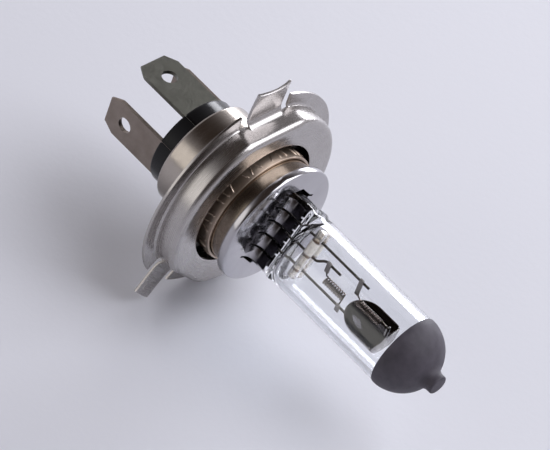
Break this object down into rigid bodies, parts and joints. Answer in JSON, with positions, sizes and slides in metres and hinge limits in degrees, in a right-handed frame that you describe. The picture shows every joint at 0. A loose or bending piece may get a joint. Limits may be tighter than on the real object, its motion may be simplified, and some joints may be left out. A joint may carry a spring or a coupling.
{
  "type": "headlight bulb",
  "caption": "Twin-filament halogen headlight bulb: clear glass tube with a black tip, a lugged prefocus flange and flat rear terminal blades.",
  "frame": {"origin": "on the bulb axis, in the plane of the flange's front face, which is the seating plane", "axes": "+X along the bulb axis towards the glass tip, +Z towards the wide locating lug (up in the lamp), +Y completes the right-handed frame"},
  "size_m": [0.0786, 0.043, 0.0471],
  "materials": {
    "ring_steel": "nickel-plated sheet, satin",
    "shell_steel": "nickel-plated drawn cup, satin",
    "sleeve_steel": "polished stainless sleeve",
    "cap_steel": "spring steel sheet",
    "quartz": "clear quartz",
    "bridge_quartz": "fused, slightly milky",
    "coating": "matt black heat-resistant coating",
    "molybdenum": "dark drawn wire",
    "shield_metal": "polished molybdenum sheet",
    "tungsten": "coiled tungsten",
    "foil": "etched foil",
    "insulator": "moulded thermoset",
    "blade_top": "tarnished nickel-plated steel",
    "blade_side": "nickel-plated steel"
  },
  "bodies": {
    "root": {"prefocus_ring": "ring_steel", "backing_plate": "ring_steel", "base_shell": "shell_steel", "burner_sleeve": "sleeve_steel", "clamping_cap": "cap_steel", "glass_bulb": "quartz", "tip_coating": "coating", "low_beam_shield": "shield_metal", "shield_end_plate": "shield_metal", "bridge_rod_front": "bridge_quartz", "bridge_rod_rear": "bridge_quartz", "support_wire_low": "molybdenum", "support_wire_high": "molybdenum", "support_wire_common": "molybdenum", "tab_low": "molybdenum", "tab_high": "molybdenum", "tab_common": "molybdenum", "low_beam_filament": "tungsten", "high_beam_filament": "tungsten", "foil_low": "foil", "foil_high": "foil", "foil_common": "foil", "lead_low": "molybdenum", "lead_high": "molybdenum", "lead_common": "molybdenum", "insulator": "insulator", "blade_top": "blade_top", "blade_left": "blade_side", "blade_right": "blade_side"}
  },
  "joints": []
}
